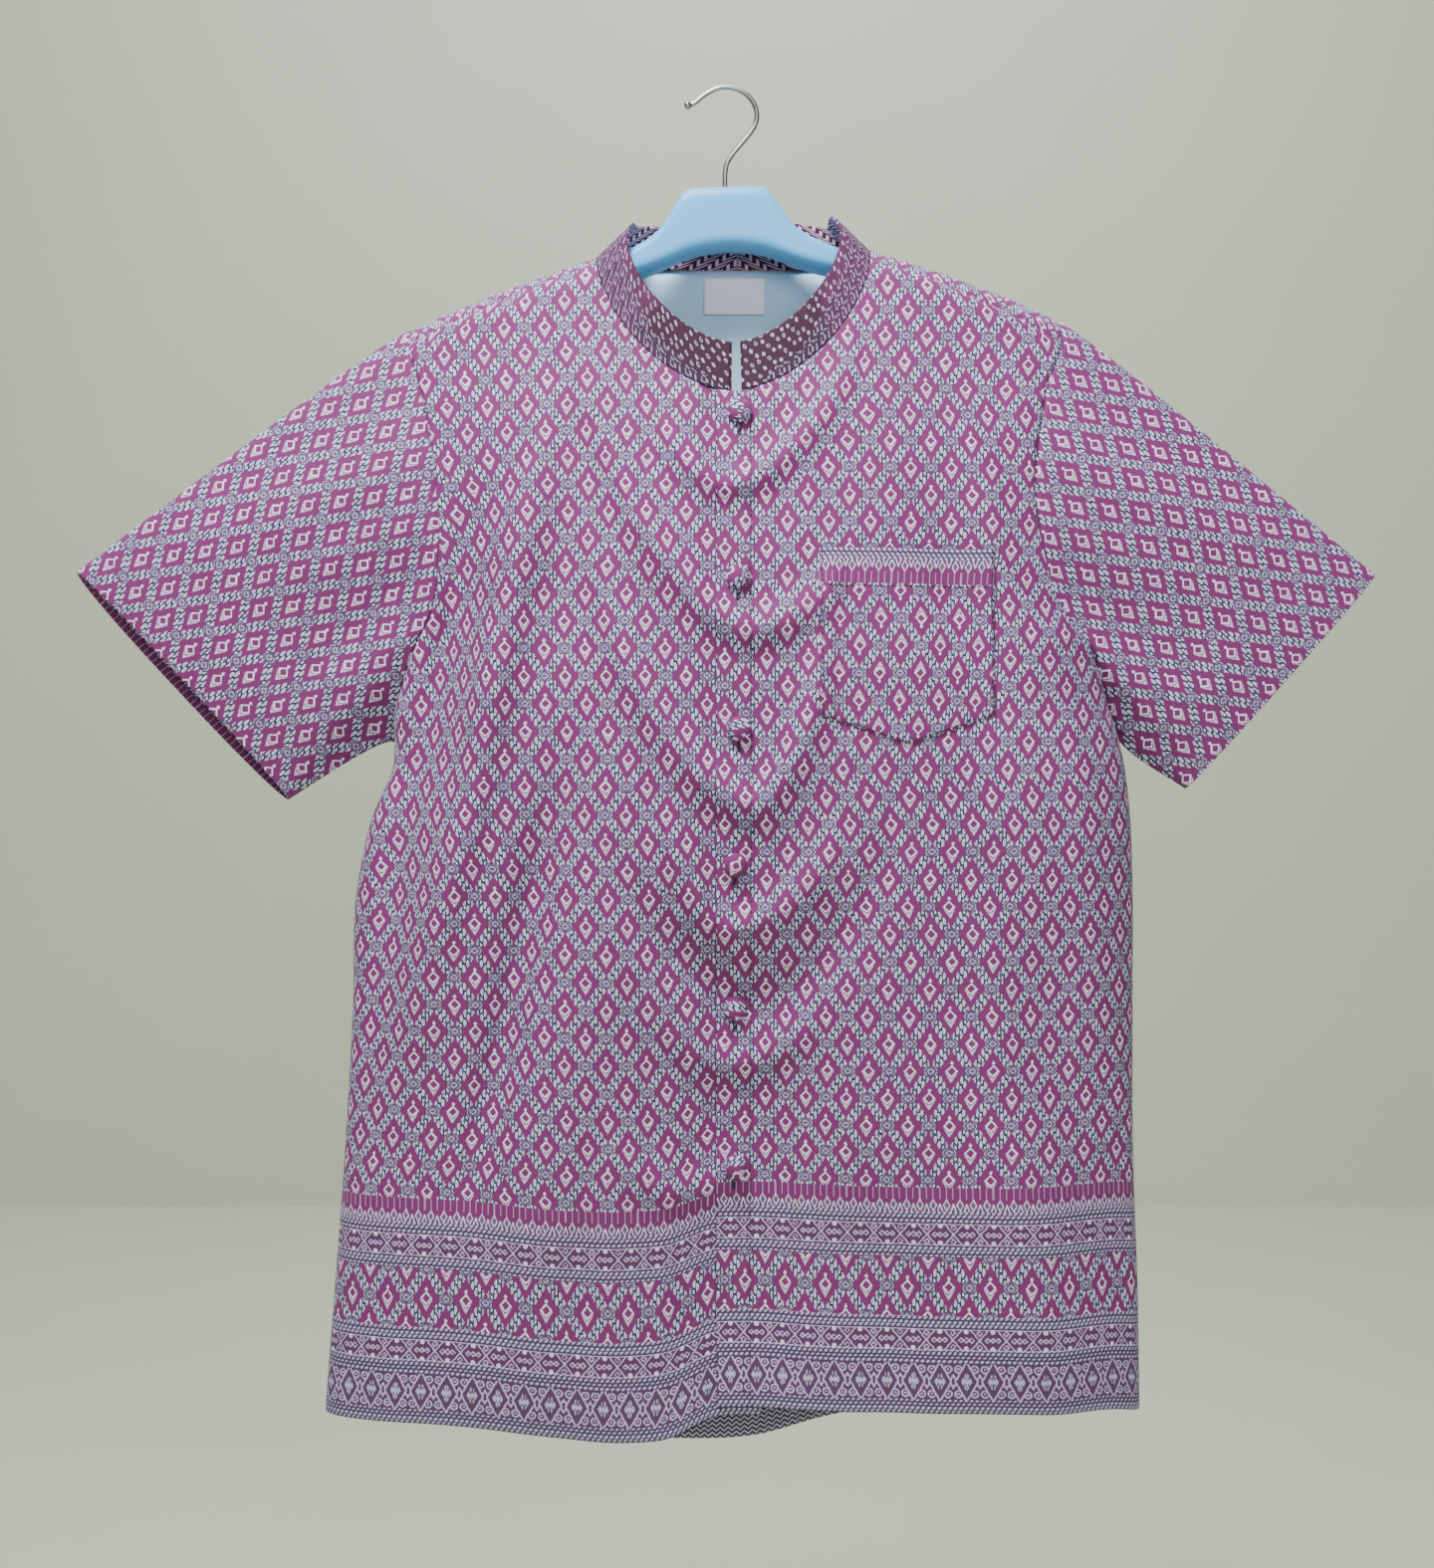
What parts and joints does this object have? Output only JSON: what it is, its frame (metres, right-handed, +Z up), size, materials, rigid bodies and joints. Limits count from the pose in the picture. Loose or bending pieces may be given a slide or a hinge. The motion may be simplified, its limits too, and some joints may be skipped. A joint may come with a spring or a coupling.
{
  "type": "mandarin collar shirt on hanger",
  "caption": "Short-sleeved mandarin collar shirt with covered buttons and a patch pocket, hung on a moulded hanger with a wire hook.",
  "frame": {"origin": "the inner crown of the hanger's hook, where it hangs on a peg", "axes": "+X to the shirt's own left sleeve, +Y out of its back, +Z up"},
  "size_m": [0.821, 0.1248, 0.87],
  "materials": {
    "cloth": "woven cotton with a small white and grey lattice and border bands, soft satin",
    "collar_cloth": "the same cloth fused flat, darker ground",
    "button_cloth": "cloth stretched over a dome",
    "label_cloth": "smooth woven tape, bare",
    "hanger_plastic": "moulded, satin",
    "hook_wire": "bright plated wire"
  },
  "bodies": {
    "root": {"front_right": "cloth", "front_left": "cloth", "back": "cloth", "sleeve_right": "cloth", "sleeve_left": "cloth", "pocket": "cloth", "collar": "collar_cloth", "neck_label": "label_cloth", "hanger": "hanger_plastic", "hanger_hook": "hook_wire", "button_1": "button_cloth", "button_2": "button_cloth", "button_3": "button_cloth", "button_4": "button_cloth", "button_5": "button_cloth", "button_6": "button_cloth"}
  },
  "joints": []
}
